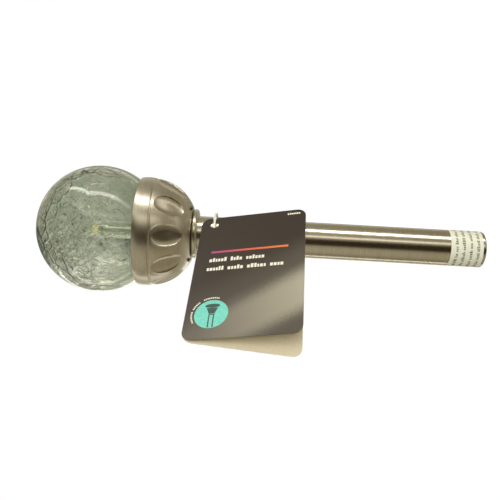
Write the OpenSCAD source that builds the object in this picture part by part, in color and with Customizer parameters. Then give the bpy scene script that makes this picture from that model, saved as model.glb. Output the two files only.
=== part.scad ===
// Solar garden light: a glass globe on a dimpled steel cup, a tubular stem with
// a ground stake stored inside it, and a folded hang tag on a nylon loop.
// The stem stands on the z = 0 plane along +Z. All lengths are millimetres.

/* [Stem] */
// outside diameter of the stem tube
stem_d = 25.4; // [25.2:0.1:25.6]
// wall thickness of the stem tube
stem_wall = 0.8; // [0.7:0.1:0.9]
// radius of the bore in the foot ferrule
foot_bore_r = 10; // [9.6:0.1:10.2]
// depth of the bore in the foot ferrule
foot_depth = 18; // [14:1:19]

/* [Stake] */
// width across the stake blades
stake_w = 18; // [14:1:19]
// thickness of each stake blade
stake_t = 2.2; // [1.6:0.2:3]

/* [Cup] */
// number of dimples round the bowl
dimple_count = 10; // [8:1:12]
// depth of each dimple
dimple_depth = 1.8; // [1.2:0.1:2]
// sheet thickness of the cup
cup_wall = 0.8; // [0.6:0.1:1]

/* [Globe] */
// outside radius of the glass globe
globe_r = 44.2; // [43.6:0.1:45]
// wall thickness of the glass
glass_wall = 2.2; // [1.8:0.1:2.6]

/* [Tag] */
// width of one leaf of the hang tag
tag_w = 70.6; // [60:0.2:72]
// height of the hang tag
tag_h = 100.4; // [80:0.2:104]
// angle between the two leaves at rest
tag_gape = 19; // [14:1:26]

/* [Hidden] */
$fn = 96;

stem_r = stem_d / 2;
stem_ri = stem_r - stem_wall;
stem_top = 206;
lip_h = 3;
fit_gap = 0.05;

stake_tip_z = 20;
stake_hub_z = 143;
stake_top_z = 163;
stake_flange_t = 3;

rim_z = 240;
band_z = 229.8;
band_r = 38;
band_arc = 21;
groove_z = 228.6;
bowl_c = [5, 233];
bowl_arc = 32.5;
bowl_z = 203.5;
dimple_r = 18;
dimple_tilt = 29.5;
dimple_len = 24;
dimple_turn = -95;

neck_r = 11.6;
neck_ri = 7.7;
neck_z = 175;
floor_z = 206.6;
floor_t = 2;
tub_r = 22;
tub_wall = 1.4;
flange_z = 223.4;
deck_z = 226;
deck_t = 2;
deck_r = 35;
screw_turns = [-33, -153, 87];
screw_tilt = 28.5;
deck_screw_turns = [-30, 150, 210];
deck_screw_r = 29;

panel_z = 228.3;
panel_r = 26;
panel_hole = 8;

led_z = 270;
lens_r = 6;
lens_z = 228.3;
lens_top = 275.5;

globe_z = 267.5;
globe_neck_z = 231;
globe_neck_r = 34.3;

label_z = 2.5;
label_w = 22.2;
label_t = 0.15;
label_from = -165;
label_arc = 225;

tag_at = [9.8, -14.8, 195.5];
tag_turn = [171.2, 75.3, -54.9];
tag_t = 0.5;
tag_hole = [8.9, 6.7];
tag_hole_r = 3.5;
loop_z = 187.2;
loop_r = 18.3;
loop_wire = 0.85;
loop_off = [1.1, -3.74];

// a disc with a hole, standing on height z
module washer(ro, ri, z, h) {
    translate([0, 0, z])
    rotate_extrude()
    translate([ri, 0])
    square([ro - ri, h]);
}

// a flat plate with rounded corners, one corner at the origin
module leaf_plate(w, h, t, r) {
    linear_extrude(t)
    union() {
        translate([r, 0])
        square([w - 2 * r, h]);
        translate([0, r])
        square([w, h - 2 * r]);
        for (x = [r, w - r], y = [r, h - r])
            translate([x, y])
            circle(r);
    }
}

// places its children round the axis at the given angles
module round_at(turns) {
    for (a = turns)
        rotate([0, 0, a])
        children();
}

// ---- stem -------------------------------------------------------------

module stem_tube() {
    color("silver")
    washer(stem_r, stem_ri, lip_h + 0.02, stem_top - lip_h - 0.02);
}

// end cap with a rounded lip and a spigot inside the tube
module foot_ferrule() {
    color("gray")
    rotate_extrude()
    difference() {
        union() {
            translate([foot_bore_r, 0])
            square([stem_r - foot_bore_r - 1, lip_h]);
            translate([foot_bore_r, 1])
            square([stem_r - foot_bore_r, lip_h - 1]);
            translate([stem_r - 1, 1])
            circle(1);
            translate([foot_bore_r, 0])
            square([stem_ri - fit_gap - foot_bore_r, foot_depth]);
        }
        square([foot_bore_r, 4 * foot_depth], center = true);
    }
}

// printed wrap label near the foot
module label() {
    color("ivory")
    rotate([0, 0, label_from])
    translate([0, 0, label_z])
    rotate_extrude(angle = label_arc)
    translate([stem_r + 0.02, 0])
    square([label_t, label_w]);
}

// ---- stake ------------------------------------------------------------

// one tapered blade outline, standing in the XZ plane
module stake_blade() {
    point_h = 34;
    rotate([90, 0, 0])
    translate([0, 0, -stake_t / 2])
    linear_extrude(stake_t)
    polygon([[0, stake_tip_z], [stake_w / 2, stake_tip_z + point_h],
             [stake_w / 2, stake_hub_z + 1], [-stake_w / 2, stake_hub_z + 1],
             [-stake_w / 2, stake_tip_z + point_h]]);
}

// cross-bladed spike with a round hub and a stop flange on top
module ground_stake() {
    hub_r = foot_bore_r - 0.1;
    color("dimgray")
    union() {
        stake_blade();
        rotate([0, 0, 90])
        stake_blade();
        translate([0, 0, stake_hub_z])
        cylinder(r = hub_r, h = stake_top_z - stake_hub_z);
        translate([0, 0, stake_top_z])
        cylinder(r = stem_ri - 0.4, h = stake_flange_t);
    }
}

// ---- cup --------------------------------------------------------------

// half section of the cup filled to the axis, drawn in by t
module cup_section(t) {
    intersection() {
        union() {
            translate(bowl_c)
            circle(bowl_arc - t);
            translate([0, bowl_z])
            square([bowl_c[0] + 1, 20]);
        }
        translate([0, bowl_z + t])
        square([band_r, groove_z + 0.6 - bowl_z]);
    }
    translate([0, groove_z - 1])
    square([band_r - 1.1 - t, 3]);
    intersection() {
        translate([band_r - band_arc, (rim_z + band_z) / 2])
        circle(band_arc - t);
        translate([0, band_z + t])
        square([band_r, rim_z - band_z + (t > 0 ? 1 : -t)]);
    }
}

// fluted cutters that press the dimples into the bowl
module dimple_cutters(t) {
    reach = bowl_arc - dimple_depth + dimple_r;
    round_at([for (i = [0 : dimple_count - 1]) dimple_turn + i * 360 / dimple_count])
        translate([bowl_c[0], 0, bowl_c[1]])
        rotate([0, dimple_tilt, 0])
        translate([reach, 0, 0])
        cylinder(r = dimple_r + t, h = dimple_len, center = true);
}

// screw positions on the shoulder of the bowl, z pointing outwards
module shoulder_places() {
    round_at(screw_turns)
        translate([bowl_c[0], 0, bowl_c[1]])
        rotate([0, 180 - screw_tilt, 0])
        children();
}

module cup() {
    color("silver")
    difference() {
        rotate_extrude()
        cup_section(0);
        dimple_cutters(0);
        difference() {
            rotate_extrude()
            cup_section(cup_wall);
            dimple_cutters(cup_wall);
        }
        translate([0, 0, rim_z - 2])
        cylinder(r = band_r - 1.4, h = 3);
        translate([0, 0, bowl_z - 1])
        cylinder(r = stem_r + fit_gap, h = 4);
        shoulder_places()
            translate([0, 0, bowl_arc - 3])
            cylinder(r = 0.9, h = 5);
    }
}

// turned ring that closes the joint between the stem and the cup
module collar_ring() {
    ring_h = 3.9;
    ring_r = 17.5;
    color("lightgray")
    translate([0, 0, bowl_z - ring_h - 0.05])
    rotate_extrude()
    union() {
        translate([stem_r + fit_gap, 0])
        square([ring_r - 1.95 - stem_r - fit_gap, ring_h]);
        translate([ring_r - 1.95, 1.95])
        circle(1.95);
    }
}

// ---- lamp pod ---------------------------------------------------------

// tub with a battery neck that plugs into the stem
module pod_housing() {
    lug_z = 176;
    color("darkslategray")
    difference() {
        union() {
            washer(neck_r, neck_ri, neck_z, floor_z - neck_z + 1);
            washer(tub_r - 2.6, neck_ri, floor_z, floor_t);
            washer(tub_r, tub_r - tub_wall, floor_z + 3.4, flange_z - floor_z - 2);
            washer(tub_r, tub_r - 4, floor_z + 1.4, 2.2);
            washer(deck_r - 1.5, tub_r - tub_wall, flange_z, deck_z - flange_z - 0.05);
        }
        round_at(deck_screw_turns)
            translate([deck_screw_r, 0, flange_z - 1])
            cylinder(r = 1.1, h = 5);
        shoulder_places()
            translate([0, 0, bowl_arc - 8])
            cylinder(r = 0.9, h = 9);
        translate([0, 0, lug_z])
        cube([4, 2 * neck_r + 2, 3], center = true);
    }
}

// round plate that carries the solar panel, the lens and the switch
module deck() {
    color("black")
    difference() {
        washer(deck_r, 3, deck_z, deck_t);
        round_at(deck_screw_turns)
            translate([deck_screw_r, 0, deck_z - 1])
            cylinder(r = 1.1, h = 4);
    }
}

module solar_board() {
    color("darkgreen")
    washer(panel_r, panel_hole, panel_z, 1.2);
}

// cell segments of the panel, side by side with narrow gaps
module solar_cells() {
    cells = 8;
    gap = 3;
    color("midnightblue")
    for (i = [0 : cells - 1])
        rotate([0, 0, i * 360 / cells + gap / 2])
        translate([0, 0, panel_z + 1.22])
        rotate_extrude(angle = 360 / cells - gap)
        translate([panel_hole + 1.2, 0])
        square([panel_r - panel_hole - 2.4, 0.4]);
}

// clear resin over the cells
module panel_cover() {
    color("lightblue")
    washer(panel_r, panel_hole, panel_z + 1.65, 0.8);
}

// light source: a base disc with a small yellow dome
module led() {
    led_r = 2.5;
    color("gold")
    translate([0, 0, led_z])
    rotate_extrude()
    intersection() {
        union() {
            square([led_r + 0.4, 1]);
            square([led_r, 2.2]);
            translate([0, 2.2])
            circle(led_r);
        }
        square([10, 10]);
    }
}

// clear tube with a domed top that covers the light source
module led_lens() {
    lens_ri = lens_r - 1.3;
    color("white")
    rotate_extrude()
    difference() {
        intersection() {
            union() {
                translate([0, lens_z])
                square([lens_r, lens_top - lens_z]);
                translate([0, lens_top])
                circle(lens_r);
                translate([0, lens_z])
                square([lens_r + 1.4, 1.6]);
            }
            translate([0, lens_z])
            square([20, 80]);
        }
        translate([0, lens_z - 1])
        square([lens_ri, lens_top - lens_z + 1]);
        translate([0, lens_top])
        circle(lens_ri);
    }
}

module led_stalk() {
    color("whitesmoke")
    translate([0, 0, 215])
    cylinder(r = 2.2, h = led_z - 215.05);
}

module circuit_board() {
    color("green")
    translate([0, 0, 213.4])
    cylinder(r = 19.6, h = 1.5);
}

// coil, two capacitors and a controller on the board
module board_components() {
    board_top = 214.95;
    color("dimgray")
    union() {
        translate([11, 5, board_top])
        cylinder(r = 3.2, h = 5);
        translate([-10, 8, board_top])
        cylinder(r = 2.5, h = 6);
        translate([-12, -5, board_top])
        cylinder(r = 2, h = 5);
        translate([5, -14, board_top])
        cube([5, 4, 1.4]);
        translate([3, 11, board_top])
        cube([3, 1.6, 0.8]);
    }
}

module battery() {
    color("steelblue")
    translate([0, 0, 178.2])
    union() {
        cylinder(r = 7, h = 28);
        cylinder(r = 2.6, h = 29.4);
    }
}

// sprung plate that touches the upper pole
module battery_contact() {
    color("goldenrod")
    translate([0, 0, 208.65])
    union() {
        cylinder(r = 9.5, h = 0.5);
        translate([0, 0, -0.9])
        cylinder(r = 3, h = 1);
    }
}

// quarter-turn plug that closes the battery neck
module battery_cap() {
    color("darkslategray")
    difference() {
        union() {
            translate([0, 0, 170.8])
            cylinder(r = neck_r - 0.4, h = 3.8);
            translate([0, 0, 174])
            cylinder(r = neck_ri - 0.08, h = 1.8);
        }
        translate([0, 0, 170.8])
        cube([14, 1.8, 2.4], center = true);
    }
}

// conical coil, drawn as stacked rings of wire
module battery_spring() {
    color("silver")
    for (i = [0 : 2])
        translate([0, 0, 176.3 + i * 0.6])
        rotate_extrude()
        translate([6 - i * 0.9, 0])
        circle(0.42);
}

// two insulated leads from the board to the panel
module lead_wires() {
    color("crimson")
    for (s = [-1, 1])
        translate([7 * s, -16.5, 215])
        cylinder(r = 0.7, h = 10.9);
}

// small screws on the shoulder of the bowl
module side_screws() {
    color("gray")
    shoulder_places()
        union() {
            translate([0, 0, bowl_arc - 6])
            cylinder(r = 0.7, h = 7);
            translate([0, 0, bowl_arc + 0.05])
            cylinder(r = 1.35, h = 0.9);
        }
}

module deck_screws() {
    color("gray")
    round_at(deck_screw_turns)
        translate([deck_screw_r, 0, 0])
        union() {
            translate([0, 0, 224])
            cylinder(r = 0.9, h = 4.6);
            translate([0, 0, deck_z + deck_t + 0.05])
            cylinder(r = 1.9, h = 1.3);
        }
}

// switch frame on the deck with a slot for the slider
module switch_body() {
    color("black")
    translate([0, deck_screw_r, deck_z + deck_t + 0.05])
    difference() {
        translate([-5.5, -2, 0])
        cube([11, 4, 1.9]);
        translate([-4, -0.9, 0.6])
        cube([8, 1.8, 2]);
    }
}

module switch_slider() {
    color("white")
    translate([-3.4, deck_screw_r - 0.55, deck_z + deck_t + 1])
    cube([3, 1.1, 1.9]);
}

// ---- globe ------------------------------------------------------------

module globe_gasket() {
    color("black")
    washer(35.6, 31.5, 228.9, 1.6);
}

// blown glass with a short neck that drops into the cup
module globe() {
    color("lightcyan")
    rotate_extrude()
    difference() {
        intersection() {
            union() {
                translate([0, globe_z])
                circle(globe_r);
                translate([0, globe_neck_z])
                square([globe_neck_r, 12]);
            }
            translate([0, globe_neck_z])
            square([80, 120]);
            union() {
                translate([0, rim_z - 1])
                square([80, 120]);
                square([globe_neck_r, 300]);
            }
        }
        translate([0, globe_z])
        circle(globe_r - glass_wall);
        translate([0, globe_neck_z - 1])
        square([globe_neck_r - glass_wall, 12]);
    }
}

module globe_collar() {
    color("gray")
    washer(36.2, globe_neck_r + 0.05, 231, 7.4);
}

// ---- hang tag ---------------------------------------------------------

// nylon loop round the stem and through the corner of the tag
module tag_loop() {
    knot_turn = -52;
    color("white")
    translate([loop_off[0], loop_off[1], loop_z])
    union() {
        rotate_extrude()
        translate([loop_r, 0])
        circle(loop_wire);
        rotate([0, 0, knot_turn])
        translate([loop_r, 0, 0])
        sphere(r = 1.5);
    }
}

module tag_front_leaf() {
    color("saddlebrown")
    translate(tag_at)
    rotate(tag_turn)
    difference() {
        leaf_plate(tag_w, tag_h, tag_t, 2.5);
        translate([tag_hole[0], tag_hole[1], -1])
        cylinder(r = tag_hole_r, h = 3);
    }
}

// rear leaf, shorter at the top so that it clears the loop and the stem
module tag_back_leaf() {
    short = 20;
    color("wheat")
    translate(tag_at)
    rotate(tag_turn)
    rotate([0, -tag_gape, 0])
    translate([0, short, 1])
    leaf_plate(tag_w, tag_h - short, tag_t, 2.5);
}

stem_tube();
foot_ferrule();
label();
ground_stake();
cup();
collar_ring();
pod_housing();
deck();
solar_board();
solar_cells();
panel_cover();
led();
led_lens();
led_stalk();
circuit_board();
board_components();
battery();
battery_contact();
battery_cap();
battery_spring();
lead_wires();
side_screws();
deck_screws();
switch_body();
switch_slider();
globe_gasket();
globe();
globe_collar();
tag_loop();
tag_front_leaf();
tag_back_leaf();
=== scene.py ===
"""Solar garden light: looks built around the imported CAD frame. Metres; MM turns millimetres into metres."""

import math

import bmesh
import bpy
import numpy as np
from mathutils import Euler, Matrix, Vector

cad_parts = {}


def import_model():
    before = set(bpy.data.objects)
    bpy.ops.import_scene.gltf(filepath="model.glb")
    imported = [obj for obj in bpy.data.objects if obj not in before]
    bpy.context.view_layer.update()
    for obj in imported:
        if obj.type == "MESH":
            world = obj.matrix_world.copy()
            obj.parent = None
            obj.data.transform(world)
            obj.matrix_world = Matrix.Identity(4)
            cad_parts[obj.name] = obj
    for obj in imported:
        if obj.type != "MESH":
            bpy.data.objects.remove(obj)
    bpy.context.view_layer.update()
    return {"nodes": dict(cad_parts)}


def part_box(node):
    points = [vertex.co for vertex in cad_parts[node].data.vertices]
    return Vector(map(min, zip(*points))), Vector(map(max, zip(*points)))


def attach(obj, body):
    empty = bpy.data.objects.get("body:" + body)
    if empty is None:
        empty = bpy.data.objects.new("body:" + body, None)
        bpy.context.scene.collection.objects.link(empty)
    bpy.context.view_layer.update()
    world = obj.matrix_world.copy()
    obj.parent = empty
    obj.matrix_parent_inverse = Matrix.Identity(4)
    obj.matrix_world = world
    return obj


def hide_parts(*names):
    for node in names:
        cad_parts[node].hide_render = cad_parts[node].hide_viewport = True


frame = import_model()
MM = 0.001


def box_mm(node):
    """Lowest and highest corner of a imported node, in mm."""
    low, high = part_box(node)
    return np.array(low) / MM, np.array(high) / MM


# ---------------------------------------------------------------- materials


class Nodes:
    """A short way to add and link shader nodes."""

    def __init__(self, tree):
        self.tree = tree
        tree.nodes.clear()

    def add(self, kind, **values):
        node = self.tree.nodes.new(kind)
        for key, value in values.items():
            if hasattr(node, key):
                setattr(node, key, value)
            else:
                node.inputs[key.replace("_", " ")].default_value = value
        return node

    def link(self, a, out, b, into):
        self.tree.links.new(a.outputs[out], b.inputs[into])


def rgba(r, g, b):
    """A colour with full opacity."""
    return (r, g, b, 1.0)


def ramp(n, stops, interpolation="LINEAR"):
    """A colour ramp through (place, colour) stops."""
    node = n.add("ShaderNodeValToRGB")
    node.color_ramp.interpolation = interpolation
    els = node.color_ramp.elements
    while len(els) < len(stops):
        els.new(0.5)
    for el, (place, colour) in zip(els, stops):
        el.position = place
        el.color = rgba(*colour) if len(colour) == 3 else colour
    return node


def scaled_coords(n, scale):
    """Object coordinates times one number, or times a number for each axis."""
    coords = n.add("ShaderNodeTexCoord")
    mapping = n.add("ShaderNodeMapping")
    mapping.inputs["Scale"].default_value = scale if isinstance(scale, tuple) else (scale,) * 3
    n.link(coords, "Object", mapping, "Vector")
    return mapping


def surface(name, low, high, rough=(0.4, 0.5), scale=400, bump=0.1, bump_mm=0.05,
            metallic=0.0, coat=0.0, stops=(0.35, 0.65), **sockets):
    """A grained material: colour between low and high, with roughness and bump from the same noise."""
    mat = bpy.data.materials.new(name)
    mat.use_nodes = True
    n = Nodes(mat.node_tree)
    out = n.add("ShaderNodeOutputMaterial")
    bsdf = n.add("ShaderNodeBsdfPrincipled")
    bsdf.inputs["Metallic"].default_value = metallic
    bsdf.inputs["Coat Weight"].default_value = coat
    for key, value in sockets.items():
        bsdf.inputs[key.replace("_", " ")].default_value = value
    place = scaled_coords(n, scale)
    grain = n.add("ShaderNodeTexNoise", Scale=1.0, Detail=4, Roughness=0.6)
    n.link(place, "Vector", grain, "Vector")
    colours = ramp(n, [(stops[0], low), (stops[1], high)])
    n.link(grain, "Fac", colours, "Fac")
    n.link(colours, "Color", bsdf, "Base Color")
    rmap = n.add("ShaderNodeMapRange")
    rmap.inputs["To Min"].default_value = rough[0]
    rmap.inputs["To Max"].default_value = rough[1]
    n.link(grain, "Fac", rmap, "Value")
    n.link(rmap, "Result", bsdf, "Roughness")
    bumps = n.add("ShaderNodeBump", Strength=bump, Distance=bump_mm * MM)
    n.link(grain, "Fac", bumps, "Height")
    n.link(bumps, "Normal", bsdf, "Normal")
    n.link(bsdf, "BSDF", out, "Surface")
    return mat


def glass(name, tint, rough, ior, scale, bump):
    """Clear resin with a faint waviness."""
    mat = bpy.data.materials.new(name)
    mat.use_nodes = True
    n = Nodes(mat.node_tree)
    out = n.add("ShaderNodeOutputMaterial")
    bsdf = n.add("ShaderNodeBsdfPrincipled")
    bsdf.inputs["Transmission Weight"].default_value = 1.0
    bsdf.inputs["IOR"].default_value = ior
    bsdf.inputs["Roughness"].default_value = rough
    place = scaled_coords(n, scale)
    wave = n.add("ShaderNodeTexNoise", Scale=1.0, Detail=2.0)
    n.link(place, "Vector", wave, "Vector")
    colours = ramp(n, [(0.3, tuple(c * 0.96 for c in tint)), (0.7, tint)])
    n.link(wave, "Fac", colours, "Fac")
    n.link(colours, "Color", bsdf, "Base Color")
    bumps = n.add("ShaderNodeBump", Strength=bump, Distance=0.4 * MM)
    n.link(wave, "Fac", bumps, "Height")
    n.link(bumps, "Normal", bsdf, "Normal")
    n.link(bsdf, "BSDF", out, "Surface")
    return mat


def crackled(name, tint, inner):
    """Tinted glass; the inner face also carries fracture veins, some painted pale as glints, that thicken
    over the crown.
    """
    mat = bpy.data.materials.new(name)
    mat.use_nodes = True
    n = Nodes(mat.node_tree)
    out = n.add("ShaderNodeOutputMaterial")
    bsdf = n.add("ShaderNodeBsdfPrincipled", Roughness=0.0, IOR=1.45)
    bsdf.inputs["Transmission Weight"].default_value = 1.0
    coords = n.add("ShaderNodeTexCoord")
    blotch = n.add("ShaderNodeTexNoise", Scale=42.0, Detail=5.0, Roughness=0.65)
    n.link(coords, "Object", blotch, "Vector")
    pale = tuple(min(1.0, c * 1.02) for c in tint)
    deep = tuple(c * k for c, k in zip(tint, (0.90, 0.93, 0.88)))
    colours = ramp(n, [(0.40, deep), (0.60, pale)])
    n.link(blotch, "Fac", colours, "Fac")
    # the glass is thicker, so deeper in colour, towards the neck
    split = n.add("ShaderNodeSeparateXYZ")
    n.link(coords, "Object", split, "Vector")
    rise = n.add("ShaderNodeMapRange")
    rise.inputs["From Min"].default_value = 0.242
    rise.inputs["From Max"].default_value = 0.262
    n.link(split, "Z", rise, "Value")
    neck = ramp(n, [(0.0, (0.78, 0.80, 0.77)), (1.0, (1.0, 1.0, 1.0))])
    n.link(rise, "Result", neck, "Fac")
    body = n.add("ShaderNodeMix", data_type="RGBA", blend_type="MULTIPLY")
    body.inputs["Factor"].default_value = 1.0
    n.tree.links.new(colours.outputs["Color"], body.inputs[6])
    n.tree.links.new(neck.outputs["Color"], body.inputs[7])
    # one side of the crown is more densely cracked, which reads as a deeper green
    away = n.add("ShaderNodeVectorMath", operation="DISTANCE")
    away.inputs[1].default_value = (0.024, -0.026, 0.286)
    n.tree.links.new(coords.outputs["Object"], away.inputs[0])
    near = n.add("ShaderNodeMapRange")
    near.inputs["From Min"].default_value = 0.006
    near.inputs["From Max"].default_value = 0.032
    near.inputs["To Min"].default_value = 0.75
    near.inputs["To Max"].default_value = 0.0
    n.link(away, "Value", near, "Value")
    mottle = n.add("ShaderNodeTexNoise", Scale=130.0, Detail=4.0, Roughness=0.7)
    n.link(coords, "Object", mottle, "Vector")
    spots = ramp(n, [(0.44, (0, 0, 0)), (0.58, (1, 1, 1))])
    n.link(mottle, "Fac", spots, "Fac")
    dense = n.add("ShaderNodeMath", operation="MULTIPLY")
    n.link(near, "Result", dense, 0)
    n.link(spots, "Color", dense, 1)
    shaded = n.add("ShaderNodeMix", data_type="RGBA", blend_type="MIX")
    shaded.inputs[7].default_value = rgba(0.50, 0.64, 0.50)
    n.link(dense, "Value", shaded, "Factor")
    n.tree.links.new(body.outputs[2], shaded.inputs[6])
    n.tree.links.new(shaded.outputs[2], bsdf.inputs["Base Color"])
    if not inner:
        n.link(bsdf, "BSDF", out, "Surface")
        return mat
    warp = n.add("ShaderNodeTexNoise", Scale=210.0, Detail=3.0, Roughness=0.7)
    n.link(coords, "Object", warp, "Vector")
    shift = n.add("ShaderNodeVectorMath", operation="MULTIPLY_ADD")
    shift.inputs[1].default_value = (0.0085, 0.0085, 0.0085)
    n.tree.links.new(warp.outputs["Color"], shift.inputs[0])
    n.tree.links.new(coords.outputs["Object"], shift.inputs[2])
    veins = []
    for scale, thin, wide, seed in ((95.0, 0.016, 0.046, 55.0), (190.0, 0.018, 0.055, 70.0)):
        cell = n.add("ShaderNodeTexVoronoi", Scale=scale, feature="DISTANCE_TO_EDGE")
        n.tree.links.new(shift.outputs["Vector"], cell.inputs["Vector"])
        line = ramp(n, [(thin, (1, 1, 1)), (wide, (0, 0, 0))])
        n.link(cell, "Distance", line, "Fac")
        broken = n.add("ShaderNodeTexNoise", Scale=seed, Detail=3.0)
        n.link(coords, "Object", broken, "Vector")
        gate = ramp(n, [(0.47, (0, 0, 0)), (0.56, (1, 1, 1))])
        n.link(broken, "Fac", gate, "Fac")
        part = n.add("ShaderNodeMath", operation="MULTIPLY")
        n.link(line, "Color", part, 0)
        n.link(gate, "Color", part, 1)
        veins.append(part)
    both = n.add("ShaderNodeMath", operation="MAXIMUM")
    n.link(veins[0], "Value", both, 0)
    n.link(veins[1], "Value", both, 1)
    crown = n.add("ShaderNodeMapRange")
    crown.inputs["From Min"].default_value = 0.244
    crown.inputs["From Max"].default_value = 0.276
    crown.inputs["To Min"].default_value = 0.04
    n.link(split, "Z", crown, "Value")
    amount = n.add("ShaderNodeMath", operation="MULTIPLY")
    n.link(both, "Value", amount, 0)
    n.link(crown, "Result", amount, 1)
    limited = n.add("ShaderNodeMath", operation="MULTIPLY")
    limited.inputs[1].default_value = 0.38
    n.link(amount, "Value", limited, 0)
    # a fracture face: dark in transmission; its bumps catch real glints, and noise paints some veins pale as
    # painted glints
    dark = n.add("ShaderNodeBsdfPrincipled", Roughness=0.35, IOR=1.45)
    dark.inputs["Transmission Weight"].default_value = 0.55
    shade = n.add("ShaderNodeTexNoise", Scale=160.0, Detail=2.0)
    n.link(coords, "Object", shade, "Vector")
    # the pale end of the vein tone is a painted glint
    vein_tone_painted_glint = ramp(n, [(0.40, (0.13, 0.18, 0.12)), (0.56, (0.82, 0.88, 0.74))])
    n.link(shade, "Fac", vein_tone_painted_glint, "Fac")
    n.link(vein_tone_painted_glint, "Color", dark, "Base Color")
    bumps = n.add("ShaderNodeBump", Strength=0.5, Distance=0.35 * MM)
    n.link(amount, "Value", bumps, "Height")
    n.link(bumps, "Normal", dark, "Normal")
    n.link(bumps, "Normal", bsdf, "Normal")
    mix = n.add("ShaderNodeMixShader")
    n.link(limited, "Value", mix, "Fac")
    n.link(bsdf, "BSDF", mix, 1)
    n.link(dark, "BSDF", mix, 2)
    n.link(mix, "Shader", out, "Surface")
    return mat


# how strong the painted streak of reflected light is, by place down the leaf
PAINTED_STREAK = [(0.43, 0.0), (0.60, 0.22), (0.73, 1.0), (0.83, 0.95), (0.95, 0.20)]


def tag_painted_sheen(name):
    """Glossy dark card with a painted reflection: it pales towards the lower right corner of the leaf."""
    mat = bpy.data.materials.new(name)
    mat.use_nodes = True
    n = Nodes(mat.node_tree)
    out = n.add("ShaderNodeOutputMaterial")
    bsdf = n.add("ShaderNodeBsdfPrincipled")
    bsdf.inputs["Coat Weight"].default_value = 0.25
    uv = n.add("ShaderNodeUVMap", uv_map="leaf")
    split = n.add("ShaderNodeSeparateXYZ")
    n.link(uv, "UV", split, "Vector")
    # painted reflection: a soft streak of light is painted across the lower part, stronger to the right
    lean = n.add("ShaderNodeMath", operation="MULTIPLY_ADD")
    lean.inputs[1].default_value = 0.387
    n.link(split, "X", lean, 0)
    n.link(split, "Y", lean, 2)
    place = scaled_coords(n, 900)
    grain = n.add("ShaderNodeTexNoise", Scale=1.0, Detail=4.0)
    n.link(place, "Vector", grain, "Vector")
    mixed = n.add("ShaderNodeMath", operation="MULTIPLY_ADD")
    mixed.inputs[1].default_value = 0.05
    n.link(grain, "Fac", mixed, 0)
    n.link(lean, "Value", mixed, 2)
    unit = n.add("ShaderNodeMath", operation="MULTIPLY")
    unit.inputs[1].default_value = 1 / 1.4
    n.link(mixed, "Value", unit, 0)
    painted_streak = ramp(
        n,
        [(place, (grey, grey, grey)) for place, grey in PAINTED_STREAK],
        "EASE",
    )
    n.link(unit, "Value", painted_streak, "Fac")
    side = n.add("ShaderNodeMapRange")
    side.inputs["To Min"].default_value = 0.25
    n.link(split, "X", side, "Value")
    amount = n.add("ShaderNodeMath", operation="MULTIPLY")
    n.link(painted_streak, "Color", amount, 0)
    n.link(side, "Result", amount, 1)
    # dark card colour, paled towards beige where the painted reflection streak lies
    colours = ramp(
        n,
        [(0.0, (0.024, 0.016, 0.011)), (0.35, (0.085, 0.074, 0.056)), (1.0, (0.31, 0.285, 0.22))],
    )
    n.link(amount, "Value", colours, "Fac")
    n.link(colours, "Color", bsdf, "Base Color")
    rough = n.add("ShaderNodeMapRange")
    rough.inputs["To Min"].default_value = 0.28
    rough.inputs["To Max"].default_value = 0.4
    n.link(grain, "Fac", rough, "Value")
    n.link(rough, "Result", bsdf, "Roughness")
    bumps = n.add("ShaderNodeBump", Strength=0.08, Distance=0.03 * MM)
    n.link(grain, "Fac", bumps, "Height")
    n.link(bumps, "Normal", bsdf, "Normal")
    n.link(bsdf, "BSDF", out, "Surface")
    return mat


def stripe_paint(name):
    """Printed stripe that runs from magenta to orange along its length."""
    mat = bpy.data.materials.new(name)
    mat.use_nodes = True
    n = Nodes(mat.node_tree)
    out = n.add("ShaderNodeOutputMaterial")
    bsdf = n.add("ShaderNodeBsdfPrincipled", Roughness=0.35)
    uv = n.add("ShaderNodeUVMap", uv_map="leaf")
    split = n.add("ShaderNodeSeparateXYZ")
    n.link(uv, "UV", split, "Vector")
    colours = ramp(
        n, [(0.12, (0.30, 0.045, 0.22)), (0.45, (0.50, 0.085, 0.06)), (0.85, (0.60, 0.17, 0.03))],
    )
    n.link(split, "X", colours, "Fac")
    n.link(colours, "Color", bsdf, "Base Color")
    n.link(bsdf, "BSDF", out, "Surface")
    return mat


STEEL = surface(
    "steel_brushed", (0.60, 0.555, 0.46), (0.74, 0.70, 0.61), rough=(0.17, 0.27),
    scale=(70, 70, 5200), bump=0.10, bump_mm=0.02, metallic=1.0,
)
STEEL_CUP = surface(
    "steel_cup", (0.60, 0.555, 0.46), (0.74, 0.70, 0.61), rough=(0.27, 0.37),
    scale=(160, 160, 4200), bump=0.09, bump_mm=0.02, metallic=1.0,
)
RING_STEEL = surface(
    "steel_polished", (0.70, 0.66, 0.58), (0.80, 0.77, 0.69), rough=(0.2, 0.3),
    scale=(90, 90, 4000), bump=0.06, bump_mm=0.02, metallic=1.0,
)
SCREW = surface(
    "screw_steel", (0.16, 0.15, 0.14), (0.30, 0.29, 0.27), rough=(0.3, 0.45), scale=3000,
    metallic=1.0,
)
BLACK = surface(
    "black_plastic", (0.018, 0.018, 0.018), (0.032, 0.032, 0.031), rough=(0.45, 0.62), scale=2500,
    bump=0.25,
)
GREY = surface(
    "grey_plastic", (0.16, 0.155, 0.13), (0.21, 0.20, 0.17), rough=(0.4, 0.55), scale=2000,
    bump=0.2,
)
WHITE = surface(
    "white_plastic", (0.66, 0.66, 0.62), (0.74, 0.74, 0.70), rough=(0.35, 0.5), scale=1800,
    bump=0.12,
)
NYLON = surface(
    "nylon", (0.72, 0.71, 0.66), (0.84, 0.83, 0.78), rough=(0.25, 0.4), scale=2600, bump=0.2,
    Transmission_Weight=0.15, Subsurface_Weight=0.1, Subsurface_Radius=(0.002, 0.002, 0.002),
)
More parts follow.
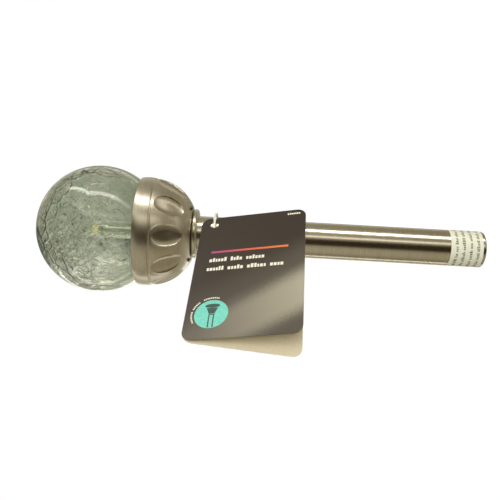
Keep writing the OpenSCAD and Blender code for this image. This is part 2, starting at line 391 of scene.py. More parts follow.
BOARD = surface(
    "board_green", (0.006, 0.06, 0.022), (0.012, 0.10, 0.035), rough=(0.3, 0.45), scale=1200,
    bump=0.1,
)
CELL = surface(
    "cell_silicon", (0.006, 0.010, 0.035), (0.016, 0.028, 0.085), rough=(0.18, 0.3), scale=420,
    bump=0.03, coat=0.5,
)
PHOSPHOR = surface(
    "phosphor", (0.84, 0.74, 0.28), (0.96, 0.88, 0.42), rough=(0.3, 0.4), scale=3000,
    Emission_Color=(1.0, 0.86, 0.36, 1.0), Emission_Strength=0.5,
)
PARTS = surface(
    "component_black", (0.012, 0.012, 0.014), (0.03, 0.03, 0.034), rough=(0.3, 0.5), scale=2000,
)
SLEEVE = surface(
    "battery_sleeve", (0.02, 0.10, 0.22), (0.03, 0.14, 0.30), rough=(0.2, 0.3), scale=700, coat=0.3,
)
BRASS = surface(
    "contact_brass", (0.60, 0.42, 0.14), (0.74, 0.55, 0.22), rough=(0.25, 0.4), scale=1500,
    metallic=1.0,
)
LEAD = surface("lead_red", (0.40, 0.02, 0.02), (0.52, 0.03, 0.03), rough=(0.35, 0.5), scale=2500)
RUBBER = surface(
    "gasket_rubber", (0.012, 0.012, 0.012), (0.022, 0.022, 0.022), rough=(0.7, 0.85), scale=3000,
    bump=0.3,
)
LABEL = surface(
    "label_paper", (0.62, 0.63, 0.53), (0.70, 0.71, 0.60), rough=(0.3, 0.42), scale=1600,
    bump=0.08, stops=(0.3, 0.7),
)
PRINT = surface("label_print", (0.10, 0.12, 0.08), (0.16, 0.18, 0.13), rough=(0.4, 0.5), scale=3000)
# the dark card carries a painted reflection streak
CARD_PAINTED_SHEEN = tag_painted_sheen("card_brown")
CREAM = surface(
    "card_cream", (0.66, 0.60, 0.44), (0.74, 0.68, 0.51), rough=(0.38, 0.5), scale=1400, bump=0.12,
)
STRIPE = stripe_paint("stripe_print")
TEXTBAR = surface("bar_print", (0.62, 0.58, 0.50), (0.78, 0.74, 0.66), rough=(0.4, 0.5), scale=2500)
TEAL = surface("badge_teal", (0.10, 0.44, 0.37), (0.16, 0.54, 0.46), rough=(0.35, 0.45), scale=800)
TEAL_DARK = surface("badge_icon", (0.02, 0.05, 0.045), (0.03, 0.07, 0.06), rough=(0.35, 0.45), scale=900)
GLOBE_GLASS = crackled("crackle_glass", (0.925, 0.935, 0.895), inner=False)
GLOBE_INNER = crackled("crackle_veins", (0.94, 0.95, 0.915), inner=True)
CLEAR = glass("clear_resin", (0.97, 0.98, 0.95), rough=0.03, ior=1.22, bump=0.05, scale=200)

# ---------------------------------------------------------------- mesh tools


def mesh_piece(name, verts, faces, material, body, smooth=True):
    """A mesh from points in mm, which rides on a body when one is named."""
    mesh = bpy.data.meshes.new(name)
    points = [tuple(float(c) * MM for c in v) for v in verts]
    mesh.from_pydata(points, [], [tuple(int(i) for i in f) for f in faces])
    mesh.validate()
    mesh.update()
    obj = bpy.data.objects.new(name, mesh)
    bpy.context.collection.objects.link(obj)
    mesh.materials.append(material)
    if smooth:
        mesh.shade_smooth()
    if body:
        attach(obj, body)
    return obj


CREASE = 35  # edges that turn by more degrees than this stay sharp


def sharp_edges(obj, degrees):
    """Keeps a hard line where faces meet at more than an angle."""
    obj.data.set_sharp_from_angle(angle=math.radians(degrees))
    return obj


def grid_faces(rows, cols, wrap):
    """Quads over a rows by cols grid of vertices; wrap joins the last column to the first."""
    r = np.arange(rows - 1)[:, None]
    c = np.arange(cols if wrap else cols - 1)[None, :]
    a = r * cols + c
    b = r * cols + (c + 1) % cols
    return np.stack([a, b, b + cols, a + cols], axis=-1).reshape(-1, 4)


def lathe(name, profile, material, body, segments=192):
    """Turns a closed profile of (r, z) in mm about Z."""
    turn = np.linspace(0, 2 * math.pi, segments, endpoint=False)
    prof = np.array(profile, float)
    heights = np.repeat(prof[:, 1:], segments, axis=1)
    verts = np.stack(
        [prof[:, :1] * np.cos(turn), prof[:, :1] * np.sin(turn), heights], axis=-1,
    ).reshape(-1, 3)
    last = (len(prof) - 1) * segments
    c = np.arange(segments)
    d = (c + 1) % segments
    seam = np.stack([last + c, last + d, d, c], axis=-1)
    faces = np.vstack([grid_faces(len(prof), segments, True), seam])
    obj = mesh_piece(name, verts, faces, material, body)
    fix_normals(obj)
    return sharp_edges(obj, CREASE)


def fix_normals(obj):
    """Joins doubled points and turns all faces outwards."""
    bm = bmesh.new()
    bm.from_mesh(obj.data)
    bmesh.ops.remove_doubles(bm, verts=bm.verts, dist=1e-7)
    bmesh.ops.recalc_face_normals(bm, faces=bm.faces)
    bm.to_mesh(obj.data)
    bm.free()
    obj.data.shade_smooth()


def arc(cx, cz, r, a0, a1, count):
    """Points on a circle in a plane, such as (r, z), with angles in degrees from its first axis."""
    angles = [math.radians(a) for a in np.linspace(a0, a1, count)]
    return [(cx + r * math.cos(a), cz + r * math.sin(a)) for a in angles]


# ---------------------------------------------------------------- stem

STEM_R = box_mm("stem_tube")[1][0]
STEM_TOP = box_mm("stem_tube")[1][2]
stem_inner = STEM_R - 0.8
stem = lathe(
    "stem_skin",
    [
        (STEM_R, 3.3), (STEM_R, 40), (STEM_R, 90), (STEM_R, 140), (STEM_R, STEM_TOP - 0.3),
        (STEM_R - 0.3, STEM_TOP), (stem_inner, STEM_TOP), (stem_inner, 3.05), (STEM_R - 0.25, 3.05),
    ],
    STEEL, "stem")
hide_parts("stem_tube")
ferrule = lathe(
    "foot_ring",
    [(10.0, 0.4), (10.4, 0.0)] + arc(STEM_R - 1.4, 1.4, 1.4, -90, 0, 9) + [
        (STEM_R, 2.95), (stem_inner - 0.05, 3.0), (stem_inner - 0.05, 17.6),
        (stem_inner - 0.5, 18.0), (10.4, 18.0), (10.0, 17.6),
    ],
    STEEL, "stem")
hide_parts("foot_ferrule")

# printed rows on the wrap label, drawn as short raised dashes
rng = np.random.default_rng(7)
LABEL_LOW, LABEL_HIGH = box_mm("label")
label_z0, label_z1 = LABEL_LOW[2], LABEL_HIGH[2]
verts, faces = [], []


def curved_patch(a0, a1, z0, z1, r):
    """Adds a small quad strip on a cylinder of radius r between two angles in degrees."""
    steps = max(1, int(abs(a1 - a0) / 4))
    start = len(verts)
    for a in np.linspace(math.radians(a0), math.radians(a1), steps + 1):
        verts.extend([(r * math.cos(a), r * math.sin(a), z0), (r * math.cos(a), r * math.sin(a), z1)])
    for i in range(steps):
        faces.append((start + 2 * i, start + 2 * i + 2, start + 2 * i + 3, start + 2 * i + 1))


height = 1.7
for row, (first, last) in enumerate([(-158, 50), (-160, 44), (-156, 52), (-160, 38)]):
    z = label_z0 + 2.6 + row * 4.9
    angle = first
    while angle < last:
        word = float(rng.uniform(12, 40))
        end = min(angle + word, last)
        letter = angle
        while letter < end:
            width = float(rng.uniform(2.6, 4.6))
            tall = height * float(rng.choice([0.8, 1.0, 1.25]))
            curved_patch(letter, min(letter + width, end), z, z + tall, STEM_R + 0.19)
            letter += width + 2.0
        angle = end + 5.5
mesh_piece("label_rows", verts, faces, PRINT, "stem", smooth=False)


def label_sheet():
    """The wrap label: a thin sheet round part of the stem, with rounded corners."""
    a0, a1 = math.radians(-165), math.radians(60)
    turn = np.linspace(a0, a1, 120)
    radii = [STEM_R + 0.03, STEM_R + 0.165]
    v, f = [], []
    corner = 1.2
    for a in turn:
        edge = min(a - a0, a1 - a) * STEM_R
        trim = corner - math.sqrt(max(0.0, corner ** 2 - (corner - min(edge, corner)) ** 2))
        low, high = label_z0 + trim, label_z1 - trim
        for r, z in ((radii[0], low), (radii[1], low), (radii[1], high), (radii[0], high)):
            v.append((r * math.cos(a), r * math.sin(a), z))
    for i in range(len(turn) - 1):
        for j in range(4):
            k = (j + 1) % 4
            f.append((4 * i + j, 4 * i + 4 + j, 4 * i + 4 + k, 4 * i + k))
    f.append((0, 1, 2, 3))
    top = 4 * (len(turn) - 1)
    f.append((top + 3, top + 2, top + 1, top))
    obj = mesh_piece("label_skin", v, f, LABEL, "stem")
    fix_normals(obj)
    sharp_edges(obj, CREASE)
    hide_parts("label")


label_sheet()

# ---------------------------------------------------------------- cup

RIM_Z = box_mm("cup")[1][2]
DIMPLES = 10
FIRST = math.radians(-95)
BOWL = (5.0, 233.0, 32.5)  # centre (r, z) and radius of the bowl's arc
NECK_HOLE = 12.8


def cup_outline():
    """Outer profile of the cup in (r, z), bottom to rim."""
    bottom = [(NECK_HOLE, 203.5), (14.5, 203.5), (16.5, 203.52), (18.4, 203.6)]
    start = -math.degrees(math.asin((BOWL[1] - 203.85) / BOWL[2]))
    bowl = arc(BOWL[0], BOWL[1], BOWL[2], start, -8.4, 150)
    groove = [(36.98, 228.55), (36.78, 228.8), (36.7, 229.1), (36.76, 229.4), (36.98, 229.7)]
    band = [(17.0 + 21.0 * math.cos(t), 234.9 + 21.0 * math.sin(t)) for t in np.linspace(-0.235, 0.232, 26)]
    lip = [(37.2, 239.88), (37.0, 239.98), (36.8, 239.9), (36.66, 239.6)]
    return bottom + bowl + groove + band + lip


def cup_mesh():
    """The cup: two shells round one outline, with oval dimples pressed in and raised at their edges."""
    outline = np.array(cup_outline())
    tangent = np.gradient(outline, axis=0)
    tangent /= np.linalg.norm(tangent, axis=1)[:, None]
    normal = np.stack([tangent[:, 1], -tangent[:, 0]], axis=1)
    cols = 720
    turn = np.linspace(0, 2 * math.pi, cols, endpoint=False)
    # angle of each outline point as seen from the bowl's arc centre gives the distance along the meridian
    along = np.degrees(np.arctan2(outline[:, 1] - BOWL[1], outline[:, 0] - BOWL[0]))
    meridian = np.radians(along + 29.5) * BOWL[2]
    on_bowl = (along < -8) & (along > -66)
    nearest = FIRST + np.round((turn - FIRST) / (2 * math.pi / DIMPLES)) * (2 * math.pi / DIMPLES)
    off = turn - nearest
    a = outline[:, :1] * off[None, :]
    b = meridian[:, None] * np.ones_like(off)[None, :]
    half_w = 6.9 * (1 + 0.010 * b)
    q = 1 - (np.abs(a) / half_w) ** 2.2 - (np.abs(b) / 11.0) ** 2.3
    inside = np.clip(q, 0, 1)
    dent = -1.75 * (1 - (1 - inside) ** 1.5) ** 0.92
    ridge = 0.16 * np.exp(-((np.clip(q, -1, 0) / 0.16) ** 2)) * np.exp(-((inside / 0.06) ** 2))
    move = np.where(on_bowl[:, None], dent + ridge, 0.0)
    shells = []
    for depth in (0.0, 0.8):
        dist = move - depth
        r = outline[:, :1] + normal[:, :1] * dist
        z = outline[:, 1:] + normal[:, 1:] * dist
        if depth:
            z = np.minimum(z, RIM_Z - 0.5)
            r = np.maximum(r, NECK_HOLE)
        shells.append(np.stack([r * np.cos(turn), r * np.sin(turn), z], axis=-1).reshape(-1, 3))
    rows = len(outline)
    outer = grid_faces(rows, cols, True)
    inner = grid_faces(rows, cols, True)[:, ::-1] + rows * cols
    c = np.arange(cols)
    d = (c + 1) % cols
    top = (rows - 1) * cols
    rim = np.stack([top + c, top + d, rows * cols + top + d, rows * cols + top + c], axis=-1)
    base = np.stack([d, c, rows * cols + c, rows * cols + d], axis=-1)
    obj = mesh_piece(
        "cup_dimpled", np.vstack(shells), np.vstack([outer, inner, rim, base]), STEEL_CUP, "head",
    )
    obj.data.shade_smooth()
    sharp_edges(obj, 40)
    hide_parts("cup")


cup_mesh()
collar = lathe(
    "collar_turned",
    [(12.76, 199.7), (13.1, 199.5), (15.0, 199.5)]
    + arc(15.6, 201.45, 1.9, -88, 88, 21)
    + [(15.0, 203.42), (12.76, 203.42)],
    RING_STEEL, "head")
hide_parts("collar_ring")

# ---------------------------------------------------------------- globe


def sphere_points(level):
    """Points and triangles of a unit icosphere."""
    bm = bmesh.new()
    bmesh.ops.create_icosphere(bm, subdivisions=level, radius=1.0)
    bm.verts.ensure_lookup_table()
    pts = np.array([v.co[:] for v in bm.verts])
    tris = np.array([[v.index for v in f.verts] for f in bm.faces])
    bm.free()
    return pts, tris


def wobble(p, waves, rng):
    """Smooth seeded vector noise over the unit sphere."""
    out = np.zeros_like(p)
    for freq, size in waves:
        for _ in range(5):
            k = rng.normal(size=3) * freq
            out += size * rng.normal(size=3) * np.sin(p @ k + rng.uniform(0, 6.28))[:, None]
    return out


def cracks(points, rng, cells, width):
    """Height field from 0 to 1 that peaks along the borders of random cells."""
    seeds = rng.normal(size=(cells, 3))
    seeds /= np.linalg.norm(seeds, axis=1)[:, None]
    height = np.zeros(len(points))
    step = 20000
    for i in range(0, len(points), step):
        dots = points[i:i + step] @ seeds.T
        best = np.partition(-dots, 1, axis=1)[:, :2]
        angles = np.arccos(np.clip(-best, -1, 1))
        gap = np.abs(angles[:, 1] - angles[:, 0])
        height[i:i + step] = np.exp(-((gap / width) ** 2))
    return height


def globe_mesh():
    """The blown globe: smooth outside, cracked relief inside, and a straight open neck."""
    rng = np.random.default_rng(21)
    low, high = box_mm("globe")
    radius = (high[0] - low[0]) / 2
    centre = np.array([0, 0, high[2] - radius])
    wall = 2.2
    level = 7
    pts, tris = sphere_points(level)
    warped = pts + wobble(pts, [(6, 0.016), (16, 0.008), (34, 0.0035)], rng)
    warped /= np.linalg.norm(warped, axis=1)[:, None]
    coarse = cracks(warped, rng, 260, 0.016)
    fine = cracks(warped, rng, 620, 0.010)
    facets = wobble(pts, [(9, 0.06), (22, 0.05)], rng)[:, 0]
    # cracking is dense over the crown and sparse beside the cup
    crown = np.clip((pts[:, 2] + 0.42) / 0.55, 0, 1) ** 0.8
    patchy = np.clip(0.55 + 2.2 * wobble(pts, [(3, 0.16)], rng)[:, 1], 0.1, 1)
    relief = (1.0 * coarse + 0.55 * fine * patchy) * crown + 0.8 * facets * crown
    inner = pts * (radius - wall + 0.42 * relief)[:, None] + centre
    outer = pts * radius + centre

    # the neck is open: faces below the shoulder are dropped and a tube is joined on
    shoulder = 240.3
    verts_all, faces_all = [], []
    for surface_pts, flip in ((outer, False), (inner, True)):
        keep = surface_pts[tris][:, :, 2].min(axis=1) > shoulder
        faces_kept = tris[keep]
        if flip:
            faces_kept = faces_kept[:, ::-1]
        faces_all.append(faces_kept + sum(len(v) for v in verts_all))
        verts_all.append(surface_pts)
    verts_np = np.vstack(verts_all)
    obj = mesh_piece("globe_glass", verts_np, np.vstack(faces_all), GLOBE_GLASS, None)
    bm = bmesh.new()
    bm.from_mesh(obj.data)
    loose = [v for v in bm.verts if not v.link_faces]
    bmesh.ops.delete(bm, geom=loose, context="VERTS")
    rims = [e for e in bm.edges if e.is_boundary]
    # the two open borders: the outer one has the larger radius
    outer_rim = [e for e in rims if min(math.hypot(v.co.x, v.co.y) for v in e.verts) > 33.4 * MM]
    inner_rim = [e for e in rims if e not in set(outer_rim)]
    sides = []
    for edges, r in ((outer_rim, 34.25), (inner_rim, 32.1)):
        current = edges
        for z in (239.4, 231.05):
            made = bmesh.ops.extrude_edge_only(bm, edges=current)["geom"]
            for v in [g for g in made if isinstance(g, bmesh.types.BMVert)]:
                turn = math.atan2(v.co.y, v.co.x)
                v.co = Vector((r * MM * math.cos(turn), r * MM * math.sin(turn), z * MM))
            fresh = [g for g in made if isinstance(g, bmesh.types.BMEdge) and g.is_boundary]
            current = [e for e in fresh if all(abs(v.co.z - z * MM) < 1e-6 for v in e.verts)]
        sides.append(current)
    bmesh.ops.bridge_loops(bm, edges=sides[0] + sides[1])
    bmesh.ops.recalc_face_normals(bm, faces=bm.faces)
    middle = Vector(centre) * MM
    for f in bm.faces:
        at = f.calc_center_median()
        inside = at.z > shoulder * MM and (at - middle).length < (radius - 0.9) * MM
        f.material_index = int(inside)
    bm.to_mesh(obj.data)
    bm.free()
    obj.data.shade_smooth()
    obj.data.materials.append(GLOBE_INNER)
    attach(obj, "glass")
    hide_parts("globe")


globe_mesh()

LENS_FOOT = 228.4
LENS_DOME = 275.5
flange = [(7.4, LENS_FOOT), (7.4, 229.6), (7.1, 229.9), (6.1, 229.9)]
outside = [(6.0, 230.2), (6.0, 250.0), (6.0, LENS_DOME)] + arc(0, LENS_DOME, 6.0, 4, 89.5, 16)
within = arc(0, LENS_DOME, 4.7, 0, 89.5, 16)[::-1] + [(4.7, 250.0), (4.7, LENS_FOOT)]
lens = lathe("light_post_lens", flange + outside + within, CLEAR, "head", segments=96)
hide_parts("led_lens")

# ---------------------------------------------------------------- hang tag

# the tag's own axes: x right along its width, y down its height, z away from the viewer; its pose and
# sizes repeat the solids'
TAG_AT = Vector((9.8, -14.8, 195.5))
TAG_TURN = Euler([math.radians(a) for a in (171.2, 75.3, -54.9)], "XYZ").to_matrix()
GAPE = math.radians(19)
BACK_TURN = TAG_TURN @ Matrix.Rotation(-GAPE, 3, "Y")
TAG_W, TAG_H = 70.6, 100.4


def outline_xy(w, h, r, y0=0.0, per_corner=8):
    """A rounded rectangle from y0 down to h."""
    pts = []
    for cx, cy, a0 in ((r, y0 + r, 180), (w - r, y0 + r, 270), (w - r, h - r, 0), (r, h - r, 90)):
        pts += arc(cx, cy, r, a0, a0 + 90, per_corner)
    return pts


def disc(x, y, r, count=48):
    """A circle as a polygon."""
    turn = np.linspace(0, 2 * math.pi, count, endpoint=False)
    return [(x + r * math.cos(t), y + r * math.sin(t)) for t in turn]


def card(name, turn, w, h, z0, z1, body, front, back, hole=None, y0=0.0, corner=2.5):
    """A flat card leaf with a rounded outline and thickness, cut into a grid; hole is (x, y, radius)."""
    bm = bmesh.new()
    ring = [bm.verts.new((x, y, 0)) for x, y in outline_xy(w, h, corner, y0)]
    face = bm.faces.new(ring)
    edges = list(bm.edges)
    if hole:
        hole_ring = [bm.verts.new((x, y, 0)) for x, y in disc(*hole, count=32)]
        hole_edges = [bm.edges.new((hole_ring[i], hole_ring[(i + 1) % 32])) for i in range(32)]
        bm.faces.remove(face)
        bmesh.ops.triangle_fill(bm, edges=edges + hole_edges, use_beauty=True)
    for plane_count, axis, size in ((10, 0, w), (14, 1, h)):
        for i in range(1, plane_count):
            co = [0, 0, 0]
            no = [0, 0, 0]
            co[axis] = size * i / plane_count
            no[axis] = 1
            bmesh.ops.bisect_plane(
                bm, geom=bm.verts[:] + bm.edges[:] + bm.faces[:], plane_co=co, plane_no=no,
            )
    grown = bmesh.ops.extrude_face_region(bm, geom=bm.faces[:])
    for g in grown["geom"]:
        if isinstance(g, bmesh.types.BMVert):
            g.co.z = 1.0
    bmesh.ops.recalc_face_normals(bm, faces=bm.faces)
    uv = bm.loops.layers.uv.new("leaf")
    for f in bm.faces:
        for loop in f.loops:
            loop[uv].uv = (loop.vert.co.x / w, loop.vert.co.y / h)
        f.material_index = 1 if f.normal.z > 0.5 else 0
    for v in bm.verts:
        top = v.co.z > 0.5
        v.co.z = z1 if top else z0
        v.co = (Vector(turn @ v.co) + TAG_AT) * MM
    mesh = bpy.data.meshes.new(name)
    bm.to_mesh(mesh)
    bm.free()
    obj = bpy.data.objects.new(name, mesh)
    bpy.context.collection.objects.link(obj)
    mesh.materials.append(front)
    mesh.materials.append(back)
    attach(obj, body)
    return obj


front_leaf = card(
    "tag_front_card", TAG_TURN, TAG_W, TAG_H, 0.05, 0.45, "leaf_front", CARD_PAINTED_SHEEN, CREAM,
    hole=(8.9, 6.7, 2.7), corner=6.0,
)
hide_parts("tag_front_leaf")
back_leaf = card(
    "tag_back_card", BACK_TURN, TAG_W, TAG_H, 1.05, 1.45, "leaf_back", CREAM, CARD_PAINTED_SHEEN,
    y0=20.0, corner=6.5,
)
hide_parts("tag_back_leaf")


def decal(name, polygons, material, lift=0.01, thick=0.03):
    """Flat printed shapes on the front leaf, in leaf coordinates (mm right, mm down)."""
    v, f = [], []
    for poly in polygons:
        start = len(v)
        count = len(poly)
        for z in (0.05 - lift, 0.05 - lift - thick):
            v += [TAG_TURN @ Vector((x, y, z)) + TAG_AT for x, y in poly]
        f.append(tuple(range(start, start + count)))
        f.append(tuple(reversed(range(start + count, start + 2 * count))))
        for i in range(count):
            j = (i + 1) % count
            f.append((start + i, start + count + i, start + count + j, start + j))
    obj = mesh_piece(name, v, f, material, "leaf_front", smooth=False)
    layer = obj.data.uv_layers.new(name="leaf")
    inverse = TAG_TURN.transposed()
    for loop in obj.data.loops:
        local = inverse @ (obj.data.vertices[loop.vertex_index].co / MM - TAG_AT)
        layer.data[loop.index].uv = (local.x / TAG_W, local.y / TAG_H)
    return obj


def bar(x, y, w, h):
    """An upright rectangle."""
    return [(x, y), (x + w, y), (x + w, y + h), (x, y + h)]


decal("tag_stripe", [bar(10 + i * 5.0, 31.6, 5.0, 1.7) for i in range(10)], STRIPE)
rows = []
for y, x0, x1, tall in ((37.6, 9.6, 49, 3.3), (45.0, 8.8, 58, 3.3)):
    x = x0
    while x < x1 - 3:
        end = min(x + float(rng.uniform(7, 14)), x1)
        while x < end - 1:
            wide = float(rng.uniform(1.1, 1.9))
            high = tall * float(rng.choice([0.72, 0.72, 1.0]))
            rows.append(bar(x, y + tall - high, wide, high))
            x += wide + 0.55
        x += 2.2
for i in range(6):
    rows.append(bar(58.5 + i * 1.45, 2.8, 1.05, 1.5))
decal("tag_text_bars", rows, TEXTBAR)
decal("tag_badge", [disc(16.1, 82.6, 10.3)], TEAL)
around = np.linspace(0, 2 * math.pi, 28, endpoint=False)
cap = [(16.4 + 4.6 * math.cos(t), 76.6 + 1.5 * math.sin(t)) for t in around]
bowl = [(12.9, 78.2), (19.9, 78.2), (18.2, 82.4), (14.6, 82.4)]
icon = [cap, bowl, bar(14.6, 83.1, 0.8, 9.2), bar(17.4, 83.1, 0.8, 9.2), bar(14.6, 82.7, 3.6, 0.7)]
decal("tag_badge_icon", icon, TEAL_DARK, lift=0.05)
badge_ring = []
for i in range(26):
    if i in (8, 15, 16):
        continue
    t0 = math.radians(150 + i * 5.4)
    t1 = t0 + math.radians(3.4)
    corners = ((11.5, t0), (12.5, t0), (12.5, t1), (11.5, t1))
    badge_ring.append([(16.1 + r * math.cos(t), 82.6 + r * math.sin(t)) for r, t in corners])
decal("tag_badge_ring", badge_ring, TEXTBAR, lift=0.05)


def loop_mesh():
    """Nylon loop with a crimped knob: a tube swept round an oval that hugs the stem."""
    centre = np.array([0.0, -3.9, 187.2])
    wide, deep, minor = 14.6, 19.2, 0.78
    around, tube = 160, 16
    t = np.linspace(0, 2 * math.pi, around, endpoint=False)
    s = np.linspace(0, 2 * math.pi, tube, endpoint=False)
    v = []
    for a in t:
        from_knob = (a - math.radians(318) + math.pi) % (2 * math.pi) - math.pi
        knob = math.exp(-(from_knob * deep / 1.6) ** 2)
        r = minor * (1 + 0.04 * math.sin(40 * a)) + 0.62 * knob
        for b in s:
            out = r * math.cos(b)
            ring_point = [(wide + out) * math.cos(a), (deep + out) * math.sin(a), r * math.sin(b)]
            v.append(centre + np.array(ring_point))
    f = []
    for i in range(around):
        for j in range(tube):
            k, m = (i + 1) % around, (j + 1) % tube
            f.append((i * tube + j, k * tube + j, k * tube + m, i * tube + m))
    obj = mesh_piece("loop_nylon", v, f, NYLON, "loop")
    fix_normals(obj)
    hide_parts("tag_loop")


loop_mesh()

# ---------------------------------------------------------------- carried-over CAD nodes

FINISH = {
    "ground_stake": BLACK,
    "pod_housing": BLACK,
    "deck": BLACK,
    "solar_board": BOARD,
    "solar_cells": CELL,
    "panel_cover": CLEAR,
    "led": PHOSPHOR,
    "led_stalk": CLEAR,
    "circuit_board": BOARD,
    "board_components": PARTS,
    "battery": SLEEVE,
    "battery_contact": BRASS,
    "battery_cap": BLACK,
    "battery_spring": SCREW,
    "lead_wires": LEAD,
    "side_screws": SCREW,
    "deck_screws": SCREW,
    "switch_body": BLACK,
    "switch_slider": WHITE,
    "globe_gasket": RUBBER,
    "globe_collar": GREY,
}
for node, material in FINISH.items():
    data = frame["nodes"][node].data
    data.materials.clear()
    data.materials.append(material)

# silver fingers on the solar cells
FINGER_FROM, FINGER_TO = 9.6, 24.6
verts, faces = [], []
finger_z = box_mm("solar_cells")[1][2] + 0.005
for i in range(8):
    mid = math.radians(i * 45 + 22.5)
    for j in range(-3, 4):
        a = mid + math.radians(j * 5.2)
        side = np.array([-math.sin(a), math.cos(a), 0]) * 0.09
        start = len(verts)
        p0 = np.array([FINGER_FROM * math.cos(a), FINGER_FROM * math.sin(a), finger_z])
        p1 = np.array([FINGER_TO * math.cos(a), FINGER_TO * math.sin(a), finger_z])
        verts += [p0 - side, p1 - side, p1 + side, p0 + side]
        faces.append((start, start + 1, start + 2, start + 3))
mesh_piece("cell_fingers", verts, faces, RING_STEEL, "head", smooth=False)

# ---------------------------------------------------------------- stage, light, camera


def floor():
    """A pale floor, low enough to leave the stake in sight when it is out."""
    size = 4.0
    mesh = bpy.data.meshes.new("floor")
    square = [(-size, -size, 0), (size, -size, 0), (size, size, 0), (-size, size, 0)]
    mesh.from_pydata(square, [], [(0, 1, 2, 3)])
    obj = bpy.data.objects.new("floor", mesh)
    bpy.context.collection.objects.link(obj)
    mat = bpy.data.materials.new("floor_pale")
    mat.use_nodes = True
    n = Nodes(mat.node_tree)
    out = n.add("ShaderNodeOutputMaterial")
    mix = n.add("ShaderNodeMixShader", Fac=0.88)
    paint = n.add("ShaderNodeBsdfDiffuse", Color=rgba(0.92, 0.92, 0.92))
    glow = n.add("ShaderNodeEmission", Color=rgba(1.0, 1.0, 1.0), Strength=1.12)
    n.link(paint, "BSDF", mix, 1)
    n.link(glow, "Emission", mix, 2)
    n.link(mix, "Shader", out, "Surface")
    mesh.materials.append(mat)
    obj.location.z = -0.16
    obj.visible_glossy = False
    obj.visible_transmission = False
    obj.visible_diffuse = False


floor()


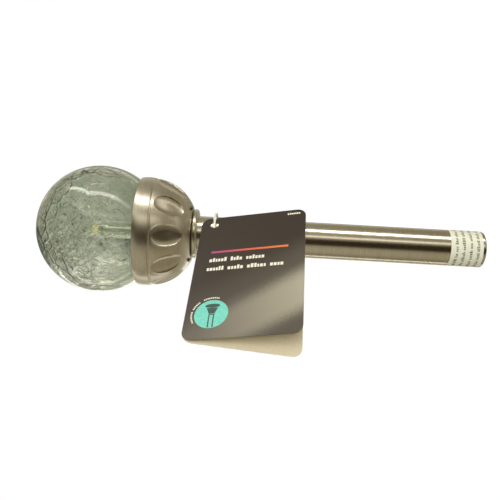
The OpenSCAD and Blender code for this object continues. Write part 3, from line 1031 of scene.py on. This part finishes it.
def world():
    """White to the camera; to everything else a studio that varies with the angle round the vertical."""
    w = bpy.data.worlds.new("studio")
    bpy.context.scene.world = w
    w.use_nodes = True
    n = Nodes(w.node_tree)
    out = n.add("ShaderNodeOutputWorld")
    coords = n.add("ShaderNodeTexCoord")
    split = n.add("ShaderNodeSeparateXYZ")
    n.link(coords, "Generated", split, "Vector")
    minus_y = n.add("ShaderNodeMath", operation="MULTIPLY")
    minus_y.inputs[1].default_value = -1.0
    n.link(split, "Y", minus_y, 0)
    angle = n.add("ShaderNodeMath", operation="ARCTAN2")
    n.link(split, "X", angle, 0)
    n.link(minus_y, "Value", angle, 1)
    turn = n.add("ShaderNodeMath", operation="MULTIPLY_ADD")
    turn.inputs[1].default_value = 1 / (2 * math.pi)
    turn.inputs[2].default_value = 0.5
    n.link(angle, "Value", turn, 0)

    # the tube lamps lean: higher up they lie further round
    above = n.add("ShaderNodeMath", operation="SUBTRACT")
    above.inputs[1].default_value = 0.30
    n.link(split, "Z", above, 0)
    only_up = n.add("ShaderNodeMath", operation="MAXIMUM")
    only_up.inputs[1].default_value = 0.0
    n.link(above, "Value", only_up, 0)
    leaned = n.add("ShaderNodeMath", operation="MULTIPLY_ADD")
    leaned.inputs[1].default_value = -0.20
    n.link(only_up, "Value", leaned, 0)
    n.link(turn, "Value", leaned, 2)

    def at(deg):
        return (deg + 180) / 360

    black = (0.0, 0.0, 0.0)
    tan = (0.40, 0.365, 0.265)
    soft = (0.33, 0.31, 0.235)
    olive = (0.22, 0.20, 0.14)
    warm = (0.46, 0.42, 0.31)
    dark = (0.035, 0.022, 0.009)
    back = (0.60, 0.60, 0.51)
    gloom = (0.12, 0.13, 0.105)
    half = (0.49, 0.50, 0.42)
    leafy = (0.38, 0.40, 0.32)
    walls = ramp(n, [(at(a), c) for a, c in [
        (-180, gloom), (-179.1, gloom), (-177.7, back), (-150, back), (-128, soft), (-110, olive),
        (-75, warm), (-48, warm), (-34, soft), (-27, dark), (4, dark), (14, soft), (28, soft),
        (55, tan), (67, tan), (100, soft), (130, tan), (147, tan),
        (160, leafy), (172, leafy), (176.5, half), (177.9, half), (179.3, gloom), (180, gloom),
    ]])
    n.link(leaned, "Value", walls, "Fac")
    lamps = []
    for start, end, edge, colour in (
        (-164, -159, 3.0, (1.6, 1.55, 1.4)),
        (-121, -117, 2.5, (1.9, 1.8, 1.6)),
        (22.5, 27, 4.0, (1.5, 1.4, 1.2)),
        (62, 66, 3.0, (9.5, 9.2, 8.5)),
        (140, 144, 3.0, (0.55, 0.55, 0.55)),
    ):
        lamps += [
            (at(start - edge), black), (at(start), colour), (at(end), colour),
            (at(end + edge), black),
        ]
    strips = ramp(n, lamps)
    n.link(leaned, "Value", strips, "Fac")
    # the crown of the room is lighter, the ground below is a warm grey
    height = ramp(n, [
        (0.30, (0.82, 0.78, 0.69)),
        (0.5, (1.0, 1.0, 1.0)),
        (0.90, (1.0, 1.0, 0.97)),
        (0.95, (0.85, 0.87, 0.82)),
    ])
    # the lamps are tubes with ends
    ends = ramp(n, [(0.22, (0.2, 0.2, 0.2)), (0.32, (1, 1, 1)), (0.82, (1, 1, 1)), (0.85, black)])
    lift = n.add("ShaderNodeMapRange")
    lift.inputs["From Min"].default_value = -1.0
    n.link(split, "Z", lift, "Value")
    n.link(lift, "Result", height, "Fac")
    n.link(lift, "Result", ends, "Fac")
    shaded = []
    for colours, factor in ((walls, height), (strips, ends)):
        product = n.add("ShaderNodeMix", data_type="RGBA", blend_type="MULTIPLY")
        product.inputs["Factor"].default_value = 1.0
        n.tree.links.new(colours.outputs["Color"], product.inputs[6])
        n.tree.links.new(factor.outputs["Color"], product.inputs[7])
        shaded.append(product)
    product = n.add("ShaderNodeMix", data_type="RGBA", blend_type="ADD")
    product.inputs["Factor"].default_value = 1.0
    n.tree.links.new(shaded[0].outputs[2], product.inputs[6])
    n.tree.links.new(shaded[1].outputs[2], product.inputs[7])
    room = n.add("ShaderNodeBackground", Strength=1.0)
    n.tree.links.new(product.outputs[2], room.inputs["Color"])
    white = n.add("ShaderNodeBackground", Color=rgba(1.0, 1.0, 1.0), Strength=1.0)
    path = n.add("ShaderNodeLightPath")
    mix = n.add("ShaderNodeMixShader")
    n.link(path, "Is Camera Ray", mix, "Fac")
    n.link(room, "Background", mix, 1)
    n.link(white, "Background", mix, 2)
    n.link(mix, "Shader", out, "Surface")


world()


MIDDLE = (0, 0, 0.16)


def area(name, place, size, power, colour):
    """A soft lamp aimed at the middle of the light."""
    data = bpy.data.lights.new(name, "AREA")
    data.shape = "RECTANGLE"
    data.size, data.size_y = size
    data.energy = power
    data.color = colour
    obj = bpy.data.objects.new(name, data)
    obj.location = place
    obj.rotation_euler = (Vector(MIDDLE) - Vector(place)).to_track_quat("-Z", "Y").to_euler()
    obj.visible_camera = False
    obj.visible_glossy = False
    obj.visible_transmission = False
    bpy.context.collection.objects.link(obj)


area("soft_front", (0.25, -1.1, 0.35), (0.5, 0.5), 9, (1.0, 0.98, 0.94))
area("soft_key", (0.9, -0.9, 0.8), (0.8, 0.8), 6, (1.0, 0.97, 0.92))
area("soft_fill", (-0.9, -0.5, 0.5), (0.9, 0.9), 3, (1.0, 0.98, 0.95))
area("soft_back", (0.2, 1.1, 0.7), (0.9, 0.9), 4, (0.97, 0.99, 1.0))


def camera():
    """Looks along +Y from the front, rolled so that the stem lies across the view."""
    roll = math.radians(3.18)
    right = Vector((math.sin(roll), 0, -math.cos(roll)))
    up = Vector((math.cos(roll), 0, math.sin(roll)))
    back = right.cross(up)
    place = Vector((0, 0, 0.163)) - 0.0092 * up + 0.432 * back
    data = bpy.data.cameras.new("camera")
    data.sensor_width = 36.0
    data.lens = 44.06
    data.clip_start = 0.01
    obj = bpy.data.objects.new("camera", data)
    obj.matrix_world = Matrix((
        (right.x, up.x, back.x, place.x),
        (right.y, up.y, back.y, place.y),
        (right.z, up.z, back.z, place.z),
        (0, 0, 0, 1),
    ))
    bpy.context.collection.objects.link(obj)
    bpy.context.scene.camera = obj


camera()
bpy.context.scene.view_settings.view_transform = "Standard"
bpy.context.scene.view_settings.look = "None"
